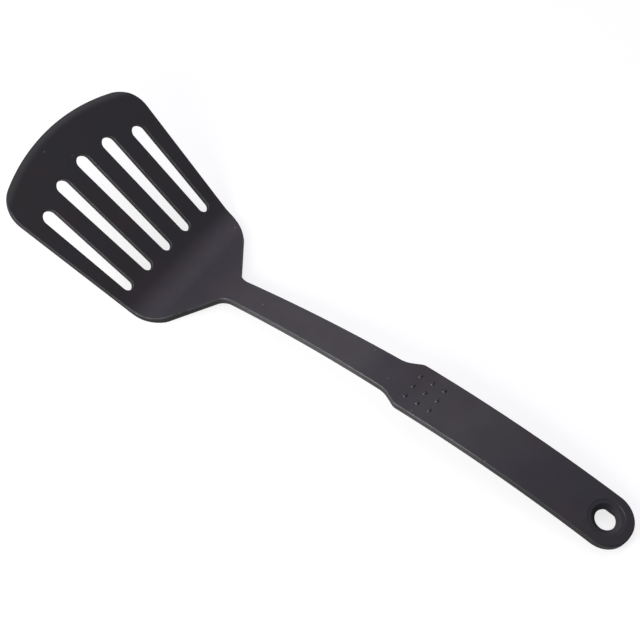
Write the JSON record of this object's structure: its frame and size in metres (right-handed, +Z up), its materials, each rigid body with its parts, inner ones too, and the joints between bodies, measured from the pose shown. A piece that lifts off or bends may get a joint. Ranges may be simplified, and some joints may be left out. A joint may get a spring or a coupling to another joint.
{
  "type": "slotted turner",
  "caption": "Moulded slotted kitchen turner: a flared blade with a bevelled lip, a bent heel, a slim shank and a long arched grip with a dished hanging hole.",
  "frame": {"origin": "centre of the bounding box at its base: on the table, on the centre line, midway between the lip and the grip end", "axes": "+X along the table from the blade to the grip end, +Y across the blade, +Z up from the table the turner lies on; the heel and the grip end touch Z = 0 and the blade tips up by about 28 degrees"},
  "size_m": [0.3186, 0.0918, 0.0436],
  "materials": {
    "nylon": "black nylon, satin, fine moulded grain"
  },
  "bodies": {
    "root": {"blade": "nylon", "front_lip": "nylon", "heel": "nylon", "shank": "nylon", "shank_rib": "nylon", "grip": "nylon", "hanging_eye": "nylon", "spine_ribs": "nylon", "cross_ribs": "nylon", "thumb_nubs": "nylon"}
  },
  "joints": []
}
